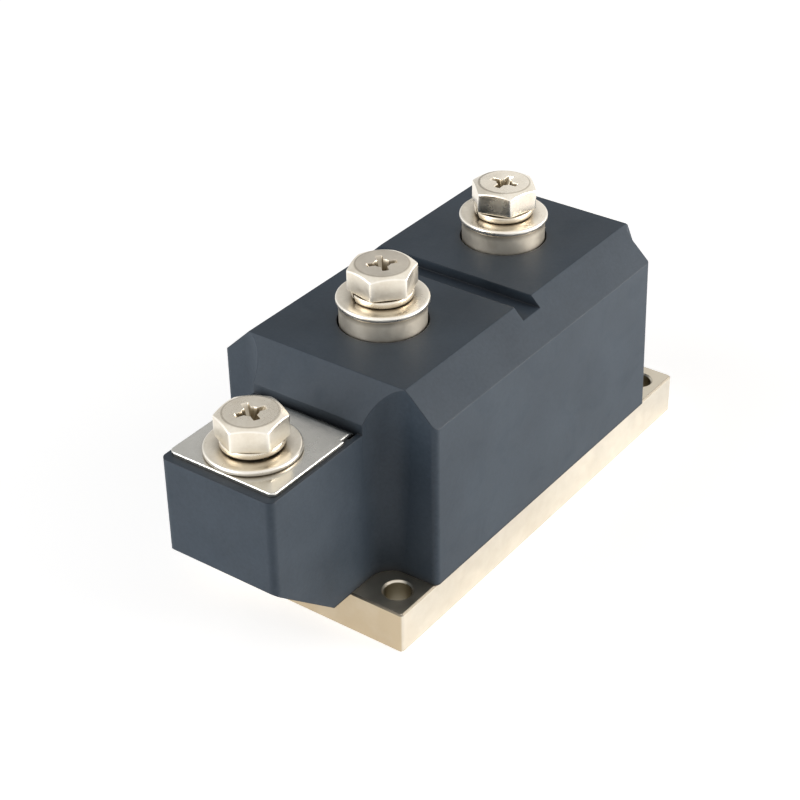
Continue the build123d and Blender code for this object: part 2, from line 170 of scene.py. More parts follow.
class HardwareSettings(bpy.types.PropertyGroup):
    """Sizes of the M8 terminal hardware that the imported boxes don't give."""

    across_flats: length("Across flats", "Hexagon head's width across its flats", 12.3)
    head_height: length("Head height", "From the head's seat to its top", 5.0)
    crown_diameter: length("Crown", "Flat top inside the head's chamfer", 10.6)
    crown_angle: turn("Crown angle", "Slope of the head's chamfer", 25.0)
    head_round: length("Head rounding", "How far the head's edges are rounded", 0.28)
    corner_sharpness: number("Corner sharpness", "Power of the hexagon's rounded corners", 46.0, min=4.0)
    recess_length: length("Recess length", "Cross recess from tip to tip at the top", 6.2)
    recess_floor: length("Recess floor", "Length of the cross recess at its floor", 2.0)
    recess_width: length("Recess width", "Width of each arm of the cross", 1.3)
    recess_depth: length("Recess depth", "Depth of the cross recess", 2.8)
    recess_core: length("Recess core", "Diameter of the recess's conical middle", 3.2)
    thread_diameter: length("Thread", "Outer diameter of the thread", 8.0)
    thread_pitch: length("Pitch", "Rise of the thread in one turn", 1.25)
    tip_chamfer: length("Tip chamfer", "Chamfer at the bolt's tip", 0.9)
    washer_bore: length("Washer bore", "Bore of the plain and the spring washers", 8.6)
    washer_round: length("Washer rounding", "Rolled edge of the punched washers", 0.5)
    spring_round: length("Spring washer rounding", "Rounding of the spring washer's section", 0.45)
    spring_rise: length("Spring washer rise", "How far the split ring climbs in its one turn", 0.4)
    spring_gap: length("Spring washer gap", "Width of the split", 0.9)
    spring_slant: turn("Spring washer slant", "Lean of the split from upright", 28.0)
    columns: IntProperty(name="Columns", description="Grid columns round a piece", default=180, min=36)


class FinishSettings(bpy.types.PropertyGroup):
    """Main colours and edge sizes of the finishes."""

    moulding_dark: colour("Moulding, dark", "Darker tone of the moulding", (0.013, 0.024, 0.038))
    moulding_light: colour("Moulding, light", "Lighter tone of the moulding", (0.041, 0.058, 0.079))
    # The moulding's edge rounding also sets the width of its darker painted edge line
    moulding_edge: length("Moulding edge", "Rounding that shades the moulding's edges", 0.3)
    nickel_warm: colour("Nickel, warm", "Warm tone of the nickel plate", (0.68, 0.61, 0.50))
    nickel_bright: colour("Nickel, bright", "Bright tone of the nickel plate", (0.82, 0.77, 0.67))
    # The plate edge also sets the width of the painted highlight along the posts' edges
    plate_edge: length("Plate edge", "Rounding that shades the posts' edges", 0.2)


class StageSettings(bpy.types.PropertyGroup):
    """Camera, lamps, room light, floor and card."""

    focal_length: number("Focal length", "On a 36 mm sensor", 84.43, unit="CAMERA")
    azimuth: turn("Azimuth", "Camera's turn round the module", -54.28)
    elevation: turn("Elevation", "Camera's height over the horizon", 32.65)
    roll: turn("Roll", "Camera's roll", -0.48)
    distance: length("Distance", "From the target to the camera", 398.7)
    slide_left: length("Slide", "Camera's slide to the left of its line to the target", 6.62)
    slide_up: length("Lift", "Camera's slide upwards", 2.07)
    target_height: length("Target height", "Height of the target over the base's underside", 20.0)
    shift_x: number("Shift X", "Frame's shift sideways", -0.02456)
    shift_y: number("Shift Y", "Frame's shift upwards", -0.00783)
    floor_colour: colour("Floor", "Colour of the floor", (0.80, 0.80, 0.80))
    floor_glow: number("Floor glow", "White that the floor adds near the module", 0.6)
    floor_far_glow: number("Far floor glow", "White that the floor adds further off", 0.8)
    card_tone: number("Card tone", "Grey of the card behind the module", 0.26)
    card_bright: number("Card, far side", "Tone of the card's lit far side", 1.0)
    card_near: number("Card, near side", "Tone of the card's near side", 0.68)
    card_spread: turn("Card spread", "Half angle that the card fills, seen from the module", 45.0)
    card_distance: length("Card distance", "From the module to the card", 1500.0)
    sky_strength: number("Sky", "Strength of the room's even light", 0.25)
    right_power: power("Right lamp", "Lamp at the long side", 3.6)
    far_power: power("Far lamp", "Lamp at the long side's far end", 1.7)
    front_power: power("Front lamp", "Lamp at the front block's left", 2.4)
    left_power: power("Left lamp", "Lamp over the left side", 0.8)


def settings():
    """All the add-on's settings in this scene."""
    scene = bpy.context.scene
    return scene.diode_hardware, scene.diode_finish, scene.diode_stage


def box_centre(node):
    """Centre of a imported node's box and its half sizes."""
    low, high = (np.array(corner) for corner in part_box(node))
    return (low + high) / 2, (high - low) / 2


def add_mesh(name, points, faces, smooth_angle=35.0):
    """New piece from vertex and face arrays, shaded smooth where faces meet at less than the angle."""
    mesh = bpy.data.meshes.new(name)
    mesh.from_pydata(points.tolist(), [], faces)
    mesh.shade_smooth()
    mesh.set_sharp_from_angle(angle=math.radians(smooth_angle))
    mesh.update()
    piece = bpy.data.objects.new(name, mesh)
    bpy.context.scene.collection.objects.link(piece)
    return piece


def mark(piece, name, values):
    """Writes one number for each vertex, from 0 to 1, which the finishes read as a mask."""
    attribute = piece.data.attributes.new(name, "FLOAT", "POINT")
    attribute.data.foreach_set("value", values.ravel().astype(np.float32))


def around(radius, angle, height):
    """Points (radius cos angle, radius sin angle, height), with rows and columns spread over each other."""
    return np.stack(np.broadcast_arrays(radius * np.cos(angle), radius * np.sin(angle), height), -1)


def quads(rows, columns, wrap_rows):
    """Faces of a grid whose columns close on themselves, and its rows too if asked: each cell is the vertex
    (row, column), the next column, the next row's next column and the next row."""
    last_row = rows if wrap_rows else rows - 1
    row, column = np.meshgrid(np.arange(last_row), np.arange(columns), indexing="ij")
    next_row, next_column = (row + 1) % rows, (column + 1) % columns
    corners = [row * columns + column, row * columns + next_column,
               next_row * columns + next_column, next_row * columns + column]
    return np.stack(corners, -1).reshape(-1, 4).tolist()


def fan(row, columns, pole):
    """Triangles from one row of a grid to a pole: each is the vertex, the next column and the pole."""
    ring = row * columns + np.arange(columns)
    return np.stack([ring, np.roll(ring, -1), np.full(columns, pole)], -1)


def closed_skin(name, grid):
    """Piece from a (rows, columns, 3) grid with its columns closed and each end row drawn to its middle."""
    rows, columns = grid.shape[:2]
    points = np.concatenate([grid.reshape(-1, 3), [grid[0].mean(0)], [grid[-1].mean(0)]])
    start = fan(0, columns, rows * columns)[:, [1, 0, 2]]
    end = fan(rows - 1, columns, rows * columns + 1)
    return add_mesh(name, points, quads(rows, columns, False) + start.tolist() + end.tolist())


def rounded_path(corners, rounding, steps):
    """Path through (..., corner, 2) points, each inner corner replaced by a parabola: a quadratic curve that
    starts and ends at the rounding's distance from the corner, with the corner as its control point."""
    before, corner, after = corners[..., :-2, :], corners[..., 1:-1, :], corners[..., 2:, :]

    def towards(other):
        """Point on the way to a neighbouring corner, at most half way."""
        way = other - corner
        span = np.linalg.norm(way, axis=-1, keepdims=True)
        return corner + way * np.minimum(rounding / np.maximum(span, 1e-9), 0.5)

    start, end = towards(before)[..., None, :], towards(after)[..., None, :]
    t = np.linspace(0, 1, steps)[:, None]
    middle = corner[..., None, :]
    curves = (1 - t) ** 2 * start + 2 * t * (1 - t) * middle + t ** 2 * end
    inner = curves.reshape(*corners.shape[:-2], -1, 2)
    return np.concatenate([corners[..., :1, :], inner, corners[..., -1:, :]], axis=-2)


def closed_path(corners, rounding, steps):
    """Closed path through (corner, 2) points with every corner rounded."""
    ring = np.concatenate([corners[-1:], corners, corners[:1]])
    return rounded_path(ring, rounding, steps)[1:-1]


def plain_washer(place, hardware):
    """Punched washer: a rounded rectangle turned about the washer's axis, so a point is
    (radius cos a, radius sin a, height) for each profile point and each angle a."""
    node = f"{place}_plain_washer"
    centre, half = box_centre(node)
    bore, rim, rise = hardware.washer_bore / 2, half[0], half[2]
    outline = np.array([(bore, -rise), (rim, -rise), (rim, rise), (bore, rise)])
    profile = closed_path(outline, hardware.washer_round, steps=7)
    angle = np.linspace(0, 2 * np.pi, hardware.columns, endpoint=False)
    radius, height = profile[:, :1], profile[:, 1:]
    grid = around(radius, angle, height) + centre
    rows, columns = grid.shape[:2]
    piece = add_mesh(f"{place}_washer", grid.reshape(-1, 3), quads(rows, columns, True))
    # Mask of the rim, which the finish uses for a painted highlight
    on_rim = np.clip((radius - rim) / hardware.washer_round + 1.0, 0, 1)
    mark(piece, "edge", np.broadcast_to(on_rim, grid.shape[:2]))
    return piece, node


def spring_washer(place, hardware):
    """Split ring: a rounded square carried round one turn less the gap. A section's angle is the sweep's
    angle less the split's lean, the tangent of the slant times the height over the mean radius, and its
    height grows by the rise times the share of the turn, less a half."""
    node = f"{place}_spring_washer"
    centre, half = box_centre(node)
    centre[:2] = box_centre(f"{place}_plain_washer")[0][:2]
    bore, rim = hardware.washer_bore / 2, max(half[0], half[1])
    thick = half[2] - hardware.spring_rise / 2
    outline = np.array([(bore, -thick), (bore, thick), (rim, thick), (rim, -thick)])
    section = closed_path(outline, hardware.spring_round, steps=6)
    mean_radius = (bore + rim) / 2
    gap = hardware.spring_gap / math.cos(hardware.spring_slant) / mean_radius
    split = math.radians(BOLT_TURNS[place][2])
    sweep = np.linspace(split + gap / 2, split + 2 * np.pi - gap / 2, hardware.columns)[:, None]
    radius, height = section[:, 0], section[:, 1]
    angle = sweep - np.tan(hardware.spring_slant) * height / mean_radius
    climbed = height + hardware.spring_rise * ((sweep - split) / (2 * np.pi) - 0.5)
    return closed_skin(f"{place}_split_washer", around(radius, angle, climbed) + centre), node


def hexagon_radius(angle, half_flats, sharpness):
    """Radius of a hexagon with rounded corners: the half width over the power mean of the positive cosines
    of the angles to its six sides."""
    sides = angle[..., None] - np.radians(30 + 60 * np.arange(6))
    cosines = np.clip(np.cos(sides), 0, None)
    return half_flats / (cosines ** sharpness).sum(-1) ** (1 / sharpness)


def gathered_angles(columns):
    """Even angles round the circle, and others closer together at the hexagon's corners: within each sixth,
    the offset from the corner is the even offset raised to a power."""
    even = np.linspace(0, 2 * np.pi, columns, endpoint=False)
    sixth = np.pi / 3
    nearest = np.round(even / sixth)
    offset = (even - nearest * sixth) / (sixth / 2)
    return even, nearest * sixth + np.sign(offset) * np.abs(offset) ** CORNER_GATHER * sixth / 2


def smooth_least(a, b):
    """Smaller of two arrays, with a soft change-over."""
    return (a + b - np.sqrt((a - b) ** 2 + RECESS_SOFTNESS ** 2)) / 2


def recess_depth(x, y, hardware):
    """Depth of the cross recess under the head's top. Each arm is the lesser of the slope from its end and
    the steep slope from its side, the core is a cone, and the deepest of the three counts."""
    deepest = hardware.recess_depth
    arm_slope = deepest / ((hardware.recess_length - hardware.recess_floor) / 2)
    core_slope = deepest / ((hardware.recess_core - hardware.recess_floor) / 2)

    def arm(along, across):
        """Depth of the arm that runs along the first coordinate."""
        from_end = (hardware.recess_length / 2 - np.abs(along)) * arm_slope
        from_side = (hardware.recess_width / 2 - np.abs(across)) * RECESS_SIDE_SLOPE
        return smooth_least(from_end, from_side)

    core = (hardware.recess_core / 2 - np.hypot(x, y)) * core_slope
    hollow = np.maximum(np.maximum(arm(x, y), arm(y, x)), core)
    return np.clip(smooth_least(hollow, deepest), 0, None)


def bolt_shank(angle, tip, seat, hardware):
    """Rows of (radius, height) up the threaded shank. The radius falls from the crest by a triangle wave of
    the height in pitches less the angle in turns, and fades to plain cones at the tip and under the head."""
    pitch, crest = hardware.thread_pitch, hardware.thread_diameter / 2
    rows = int(round((seat - tip) / pitch * PITCH_ROWS))
    height = np.linspace(tip, seat, rows)[:, None]
    turns = height / pitch - angle / (2 * np.pi)
    wave = np.abs(2 * (turns - np.floor(turns)) - 1)
    flank = np.clip(THREAD_STRETCH * (1 - wave) - THREAD_CREST, 0, 1)
    under_head = np.clip((seat - height) / pitch - THREAD_RUN_OUT, 0, 1)
    radius = crest - THREAD_DEPTH * pitch * flank * under_head
    cone = crest - hardware.tip_chamfer + (height - tip)
    return np.minimum(radius, cone), np.broadcast_to(height, radius.shape)


def terminal_bolt(place, hardware):
    """M8 bolt in one skin from its tip to the floor of its recess: threaded shank, rounded hexagon with a
    conical chamfer, and a flat top that drops into the cross recess. A point is (radius cos a,
    radius sin a, height), where radius and height follow the shank, the rim and then rings of the top."""
    node = f"{place}_terminal_bolt"
    (_, _, tip), (_, _, top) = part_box(node)
    centre = box_centre(f"{place}_plain_washer")[0]
    seat = top - hardware.head_height
    corner_turn, recess_turn, _ = BOLT_TURNS[place]
    even, gathered = gathered_angles(hardware.columns)
    flats = hexagon_radius(gathered, hardware.across_flats / 2, hardware.corner_sharpness)
    crown = hardware.crown_diameter / 2
    shoulder = top - (flats - crown) * math.tan(hardware.crown_angle)
    shank_radius, shank_height = bolt_shank(even, tip, seat, hardware)

    every = np.ones_like(flats)
    corners = np.stack([
        np.stack([every * hardware.thread_diameter / 2, every * seat], -1),
        np.stack([flats, every * seat], -1),
        np.stack([flats, shoulder], -1),
        np.stack([every * crown, every * top], -1),
        np.stack([every * crown * INNER_TOP, every * top], -1),
    ], axis=1)
    rim = rounded_path(corners, hardware.head_round, RIM_STEPS).transpose(1, 0, 2)

    inner = np.linspace(crown * INNER_TOP, 0.0, TOP_RINGS + 2)[1:-1, None]
    x, y = inner * np.cos(even), inner * np.sin(even)
    spin = math.radians(recess_turn - corner_turn)
    across_x = x * math.cos(spin) + y * math.sin(spin)
    across_y = y * math.cos(spin) - x * math.sin(spin)
    depth = recess_depth(across_x, across_y, hardware)

    radius = np.concatenate([shank_radius, rim[..., 0], np.broadcast_to(inner, depth.shape)])
    height = np.concatenate([shank_height, rim[..., 1], top - depth])
    angle = np.concatenate([
        np.broadcast_to(even, shank_radius.shape),
        np.broadcast_to(gathered, rim[..., 0].shape),
        np.broadcast_to(even, depth.shape),
    ]) + math.radians(corner_turn)
    piece = closed_skin(f"{place}_bolt", around(radius, angle, height) + (centre[0], centre[1], 0.0))

    def mark_head(name, on_rim, on_top, middle):
        """Writes a mask of the rim's rows, of the top's rings and of the recess's middle, 0 on the shank."""
        values = np.concatenate([
            np.zeros(shank_radius.shape),
            np.broadcast_to(on_rim, rim[..., 0].shape),
            np.broadcast_to(on_top, depth.shape),
        ])
        mark(piece, name, np.append(values, (0.0, middle)))

    step = np.linspace(-1, 1, RIM_STEPS)
    hump, level = 1 - step ** 2, np.zeros(RIM_STEPS)
    bends = np.concatenate([[0], hump, hump, level, [0]])[:, None]
    at_corner = ((flats - flats.min()) / (flats.max() - flats.min())) ** CORNER_HIGHLIGHT
    below_crown = np.clip((shoulder - rim[..., 1]) / hardware.head_round + 1, 0, 1)
    # Masks: painted shade in the recess, a painted highlight on the rim's bends and corners, a painted dark
    # line round the crown, and the flat top that takes its share of painted shade
    mark_head("recess", 0.0, np.clip(RECESS_MASK_GAIN * depth / hardware.recess_depth, 0, 1), 1.0)
    mark_head("edge", np.maximum(bends, at_corner * below_crown), 0.0, 0.0)
    mark_head("crown_line", np.concatenate([[0], level, level, hump, [0]])[:, None], 0.0, 0.0)
    mark_head("flat_top", np.concatenate([[0], level, level, step > 0, [1]])[:, None], 1.0, 1.0)
    return piece, node


def add_node(tree, kind, inputs=None, **values):
    """New node in a tree: values set its properties, and each input takes a number, a colour or a socket."""
    node = tree.nodes.new(kind)
    for name, value in values.items():
        setattr(node, name, value)
    for key, value in (inputs or {}).items():
        if isinstance(value, bpy.types.NodeSocket):
            tree.links.new(value, node.inputs[key])
        else:
            node.inputs[key].default_value = value
    return node


def maths(tree, operation, first, second=0.0, clamp=False):
    """Output of a Math node."""
    node = add_node(tree, "ShaderNodeMath", {0: first, 1: second}, operation=operation, use_clamp=clamp)
    return node.outputs[0]


def vector_maths(tree, operation, first, second=ORIGIN):
    """Outputs of a Vector Math node."""
    return add_node(tree, "ShaderNodeVectorMath", {0: first, 1: second}, operation=operation).outputs


def parts(tree, vector):
    """X, Y and Z sockets of a vector."""
    return add_node(tree, "ShaderNodeSeparateXYZ", {"Vector": vector}).outputs


def spread(tree, value, source, target):
    """Value whose span from the source's low to its high is laid over the target's, and held at its ends."""
    return add_node(tree, "ShaderNodeMapRange", {
        "Value": value, "From Min": source[0], "From Max": source[1],
        "To Min": target[0], "To Max": target[1],
    }).outputs[0]


def mixed_colour(tree, factor, first, second):
    """Output of a colour mix, of sockets or linear colours."""
    whole = [
        value if isinstance(value, bpy.types.NodeSocket) else (*value, 1.0)
        for value in (first, second)
    ]
    inputs = {0: factor, 6: whole[0], 7: whole[1]}
    return add_node(tree, "ShaderNodeMix", inputs, data_type="RGBA").outputs[2]


def noise(tree, vector, scale, detail=3.0, roughness=0.55, distortion=0.0):
    """Output of a Noise texture."""
    return add_node(tree, "ShaderNodeTexNoise", {
        "Vector": vector, "Scale": scale, "Detail": detail, "Roughness": roughness, "Distortion": distortion,
    }).outputs["Fac"]


def from_axis(tree, offset):
    """Distance from an upright axis, given the offset from it as X, Y and Z sockets."""
    squares = [maths(tree, "POWER", offset[axis], 2.0) for axis in "XY"]
    return maths(tree, "SQRT", maths(tree, "ADD", *squares))


def quarter_offset(tree, vector, point):
    """X, Y and Z from a point, after the plate is folded onto its first quarter."""
    folded = vector_maths(tree, "ABSOLUTE", vector)[0]
    return parts(tree, vector_maths(tree, "SUBTRACT", folded, point)[0])


def soft_edges(tree, given):
    """Rounded shading normal at edges, and a mask that is 1 on sharp edges and 0 on flats."""
    bevel = add_node(tree, "ShaderNodeBevel", {"Radius": given["Radius"]}, samples=8).outputs[0]
    face = add_node(tree, "ShaderNodeNewGeometry").outputs["Normal"]
    alike = vector_maths(tree, "DOT_PRODUCT", bevel, face)["Value"]
    bend = maths(tree, "SUBTRACT", 1.0, alike)
    return bevel, maths(tree, "MULTIPLY", bend, EDGE_GAIN, clamp=True)


def mottle(tree, given):
    """Slow and quick clouds of tone mixed into one value round 0.5."""
    cloud = noise(tree, given["Vector"], given["Cloud"], detail=4.0)
    speck = noise(tree, given["Vector"], given["Speck"], detail=2.0)
    slow = maths(tree, "MULTIPLY", cloud, CLOUD_SHARE)
    quick = maths(tree, "MULTIPLY", speck, 1.0 - CLOUD_SHARE)
    return [maths(tree, "ADD", slow, quick)]


def fine_grain(tree, given):
    """Height of a fine even grain, as a moulded or blasted surface has, over a coarser one half as high."""
    fine = noise(tree, given["Vector"], given["Scale"], detail=2.0, roughness=0.6)
    wide = maths(tree, "MULTIPLY", given["Scale"], 0.25)
    coarse = noise(tree, given["Vector"], wide, detail=1.0)
    return [maths(tree, "ADD", fine, maths(tree, "MULTIPLY", coarse, 0.5))]


def brushed_lines(tree, given):
    """Height of fine lines along one axis: a noise of coordinates stretched by the Stretch input."""
    stretched = vector_maths(tree, "MULTIPLY", given["Vector"], given["Stretch"])[0]
    return [noise(tree, stretched, 1.0, roughness=0.7)]


def turned_lines(tree, given):
    """Height of turning marks round an upright axis: a noise of the radius and the height alone."""
    offset = parts(tree, vector_maths(tree, "SUBTRACT", given["Vector"], given["Centre"])[0])
    place = add_node(tree, "ShaderNodeCombineXYZ", {"X": from_axis(tree, offset), "Y": offset["Z"]})
    return [noise(tree, place.outputs[0], given["Scale"], detail=2.0)]


def handling_smears(tree, given):
    """Mask of faint smears where a surface has been touched: a twisted noise above a threshold."""
    cloud = noise(tree, given["Vector"], given["Scale"], detail=5.0, roughness=0.5, distortion=1.4)
    return [spread(tree, cloud, SMEAR_SPAN, (0.0, 1.0))]


def close_faces(tree, given):
    """Mask that is 1 in creases and beside other pieces, and 0 on open faces."""
    nearby = add_node(tree, "ShaderNodeAmbientOcclusion", {"Distance": given["Distance"]}, samples=8)
    return [spread(tree, nearby.outputs["AO"], OPEN_SPAN, (1.0, 0.0))]


def end_tarnish(tree, given):
    """Mask of painted shade on the face at the low end of X: clouded, half to whole, there and 0 elsewhere,
    with a soft border."""
    beyond = maths(tree, "SUBTRACT", given["End"], parts(tree, given["Vector"])["X"])
    past = maths(tree, "ADD", maths(tree, "MULTIPLY", beyond, SOFT_BORDER), 0.5, clamp=True)
    cloud = maths(tree, "ADD", noise(tree, given["Vector"], 140.0), 0.5, clamp=True)
    return [maths(tree, "MULTIPLY", past, cloud)]


def height_shade(tree, given):
    """Mask of the height: 0 at the level and growing upwards with the slope, or downwards where the slope is
    negative."""
    above = maths(tree, "SUBTRACT", parts(tree, given["Vector"])["Z"], given["Level"])
    return [maths(tree, "MULTIPLY", above, given["Slope"], clamp=True)]


def bore_shade(tree, given):
    """Mask that is 1 on the walls of the four mounting holes: the distance to the nearest hole's axis is
    less than the radius."""
    outwards = from_axis(tree, quarter_offset(tree, given["Vector"], given["Axis"]))
    inside = maths(tree, "SUBTRACT", given["Radius"], outwards)
    return [maths(tree, "MULTIPLY", inside, SHARP_BORDER, clamp=True)]


def rim_shade(tree, given):
    """Mask that is 1 on the plate's upper rim: within a width of its sides and of its top."""
    offset = quarter_offset(tree, given["Vector"], given["Corner"])
    sideways = maths(tree, "ADD", maths(tree, "MAXIMUM", offset["X"], offset["Y"]), given["Width"])
    upwards = maths(tree, "ADD", offset["Z"], given["Width"])
    return [maths(tree, "MULTIPLY", maths(tree, "MINIMUM", sideways, upwards), SHARP_BORDER, clamp=True)]


# Each shared group's function, its inputs with their defaults in metres, and its outputs
SHARED_GROUPS = {
    "soft_edges": (soft_edges, {"Radius": 0.0003}, ("Normal", "Edge")),
    "mottle": (mottle, {"Vector": ORIGIN, "Cloud": 60.0, "Speck": 900.0}, ("Value",)),
    "grain": (fine_grain, {"Vector": ORIGIN, "Scale": 3000.0}, ("Height",)),
    "brushed": (brushed_lines, {"Vector": ORIGIN, "Stretch": (30.0, 1200.0, 1200.0)}, ("Height",)),
    "turned": (turned_lines, {"Vector": ORIGIN, "Centre": ORIGIN, "Scale": 2500.0}, ("Height",)),
    "handling": (handling_smears, {"Vector": ORIGIN, "Scale": 90.0}, ("Smear",)),
    "contact": (close_faces, {"Distance": 0.0025}, ("Close",)),
    "end_tarnish": (end_tarnish, {"Vector": ORIGIN, "End": -0.0523}, ("Mask",)),
    "height_shade": (height_shade, {"Vector": ORIGIN, "Level": 0.0, "Slope": 1000.0}, ("Mask",)),
    "bore_shade": (
        bore_shade, {"Vector": ORIGIN, "Axis": (0.0465, 0.0197, 0.0), "Radius": 0.00288}, ("Mask",),
    ),
    "rim_shade": (
        rim_shade, {"Vector": ORIGIN, "Corner": (0.0525, 0.025, 0.009), "Width": 0.0004}, ("Mask",),
    ),
}


def make_group(name):
    """Shader node group with named sockets: its function fills the tree and gives the outputs in order.
    Inputs are numbers where their default is a number and vectors elsewhere, as is the output Normal."""
    fill, inputs, outputs = SHARED_GROUPS[name]
    tree = bpy.data.node_groups.new(name, "ShaderNodeTree")
    for title, default in inputs.items():
        kind = "NodeSocketFloat" if isinstance(default, float) else "NodeSocketVector"
        socket = tree.interface.new_socket(name=title, in_out="INPUT", socket_type=kind)
        socket.default_value = default
    for title in outputs:
        kind = "NodeSocketVector" if title == "Normal" else "NodeSocketFloat"
        tree.interface.new_socket(name=title, in_out="OUTPUT", socket_type=kind)
    given = tree.nodes.new("NodeGroupInput").outputs
    made = tree.nodes.new("NodeGroupOutput").inputs
    for title, result in zip(outputs, fill(tree, given)):
        tree.links.new(result, made[title])
    return tree


def use_group(tree, name, inputs):
    """Outputs of a shared group, which is made the first time it is asked for."""
    group = bpy.data.node_groups.get(name) or make_group(name)
    return add_node(tree, "ShaderNodeGroup", inputs, node_tree=group).outputs


def finish(name, dark, light, roughness, metallic=0.0, edge=0.2, edge_colour=None, edge_share=0.5,
           cloud=60.0, speck=900.0, grain=3000.0, bump=0.02, marks=None, marks_depth=0.0, smears=0.0,
           specular=0.5, coat=0.0, masks=(), contact=0.0, contact_colour=MOULDING_CREASE):
    """Procedural material: a mottled colour that turns towards another at edges, which paints a highlight
    along the metals' edges and a darker line along the moulding's, a roughness that follows the mottle and
    the smears, and a bump of grain and tool marks on softly rounded edges. Edge, bump and marks_depth are in
    millimetres.
    Each mask is a vertex attribute, or a shared group with its values, then the colour that it brings in and
    its share. Contact is how far the colour darkens with painted shade where other faces come close."""
    material = bpy.data.materials.new(name)
    material.use_nodes = True
    tree = material.node_tree
    shader = tree.nodes["Principled BSDF"]
    place = add_node(tree, "ShaderNodeTexCoord").outputs["Object"]
    edges = use_group(tree, "soft_edges", {"Radius": edge * MILLIMETRE})
    tone = use_group(tree, "mottle", {"Vector": place, "Cloud": cloud, "Speck": speck})["Value"]
    middle_half = (0.25, 0.75)

    base = mixed_colour(tree, spread(tree, tone, middle_half, (0.0, 1.0)), dark, light)
    if edge_colour:
        base = mixed_colour(tree, maths(tree, "MULTIPLY", edges["Edge"], edge_share), base, edge_colour)
    for source, tint, share in masks:
        if isinstance(source, tuple):
            mask = use_group(tree, source[0], {"Vector": place, **source[1]})["Mask"]
        else:
            mask = add_node(tree, "ShaderNodeAttribute", attribute_name=source).outputs["Fac"]
        base = mixed_colour(tree, maths(tree, "MULTIPLY", mask, share), base, tint)
    if contact:
        close = use_group(tree, "contact", {})["Close"]
        base = mixed_colour(tree, maths(tree, "MULTIPLY", close, contact), base, contact_colour)

    rough = spread(tree, tone, middle_half, roughness)
    if smears:
        touch = use_group(tree, "handling", {"Vector": place})["Smear"]
        rough = maths(tree, "ADD", rough, maths(tree, "MULTIPLY", touch, smears))

    heights = [(use_group(tree, "grain", {"Vector": place, "Scale": grain})["Height"], bump)]
    if marks:
        kind, values = marks
        heights.append((use_group(tree, kind, {"Vector": place, **values})["Height"], marks_depth))
    normal = edges["Normal"]
    for height, depth in heights:
        normal = add_node(tree, "ShaderNodeBump", {
            "Height": height, "Strength": 1.0, "Distance": depth * MILLIMETRE, "Normal": normal,
        }).outputs[0]

    for socket, value in (("Base Color", base), ("Roughness", rough), ("Normal", normal)):
        tree.links.new(value, shader.inputs[socket])
    for socket, value in (("Metallic", metallic), ("Specular IOR Level", specular), ("Coat Weight", coat)):
        shader.inputs[socket].default_value = value
    return material


def dress(node, material):
    """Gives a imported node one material."""
    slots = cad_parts[node].data.materials
    slots.clear()
    slots.append(material)


def stand_in(piece, node, material):
    """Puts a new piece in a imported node's place, with its finish and its body."""
    piece.data.materials.append(material)
    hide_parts(node)
    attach(piece, "root")


class DIODE_OT_housing(bpy.types.Operator):
    """Gives the moulded housing its matte, softly edged finish"""

    bl_idname = "diode_module.housing"
    bl_label = "Finish the housing"

    def execute(self, context):
        _, tones, _ = settings()
        # The moulding gets a darker painted edge line, a band of painted shade along its foot, and painted
        # shade where other faces come close
        foot = ("height_shade", {"Level": 0.0094, "Slope": -4000.0})
        dress("housing", finish(
            "moulded_shell", tones.moulding_dark, tones.moulding_light, (0.48, 0.60),
            edge=tones.moulding_edge / MILLIMETRE, edge_colour=MOULDING_EDGE, edge_share=1.0,
            cloud=70.0, speck=1400.0, grain=2600.0, bump=0.012, smears=0.05, specular=0.4,
            masks=((foot, MOULDING_CREASE, 0.9),), contact=0.85,
        ))
        return {"FINISHED"}


class DIODE_OT_plated_copper(bpy.types.Operator):
    """Gives the base plate, the common busbar and the two posts their nickel plate"""

    bl_idname = "diode_module.plated_copper"
    bl_label = "Plate the copper"

    def execute(self, context):
        _, tones, _ = settings()
        warm, bright = tones.nickel_warm, tones.nickel_bright
        base_tones = [tuple(BASE_TONE * channel for channel in tone) for tone in (warm, bright)]
        # Masks: painted shade on the front end face, a warm painted shade on the upper face, a dark painted
        # line along the upper rim, and painted shade on the mounting holes' walls
        upper_face = ("height_shade", {"Level": 0.0088, "Slope": 8000.0})
        dress("base_plate", finish(
            "plated_base", *base_tones, (0.26, 0.38), metallic=1.0, edge=0.1,
            cloud=45.0, speck=500.0, grain=1800.0, bump=0.004, smears=0.10,
            marks=("brushed", {"Stretch": (25.0, 1500.0, 1500.0)}), marks_depth=0.004,
            masks=(
                (("end_tarnish", {}), (0.52, 0.42, 0.28), 0.9),
                (upper_face, (0.56, 0.49, 0.37), 0.6),
                (("rim_shade", {}), (0.16, 0.14, 0.11), 0.85),
                (("bore_shade", {}), (0.24, 0.21, 0.14), 0.75),
            ),
        ))
        # The strip gets a painted highlight on its edges and painted shade where other faces come close
        dress("common_busbar", finish(
            "plated_strip", (0.58, 0.565, 0.52), (0.68, 0.665, 0.62), (0.12, 0.22), metallic=1.0,
            edge=0.45, edge_colour=(0.97, 0.96, 0.93), edge_share=1.0,
            cloud=80.0, speck=700.0, grain=900.0, bump=0.003, smears=0.10,
            marks=("brushed", {"Stretch": (1400.0, 60.0, 60.0)}), marks_depth=0.001,
            contact=0.25, contact_colour=METAL_CREASE,
        ))
        for stack in STACKS:
            centre, half = box_centre(f"{stack}_terminal_post")
            # Painted shadow on each post's top under its washer, and a painted highlight on its edges
            darkens_from = centre[2] + half[2] - WASHER_SHADE
            under_washer = ("height_shade", {"Level": darkens_from, "Slope": 800.0})
            dress(f"{stack}_terminal_post", finish(
                f"{stack}_post_plating", warm, bright, (0.36, 0.46), metallic=1.0,
                edge=tones.plate_edge / MILLIMETRE, edge_colour=(0.92, 0.89, 0.83),
                cloud=120.0, speck=900.0, grain=2000.0, bump=0.003, smears=0.05,
                marks=("turned", {"Centre": (*centre[:2], 0.0), "Scale": 2600.0}), marks_depth=0.002,
                masks=((under_washer, METAL_CREASE, 0.8),),
            ))
        return {"FINISHED"}


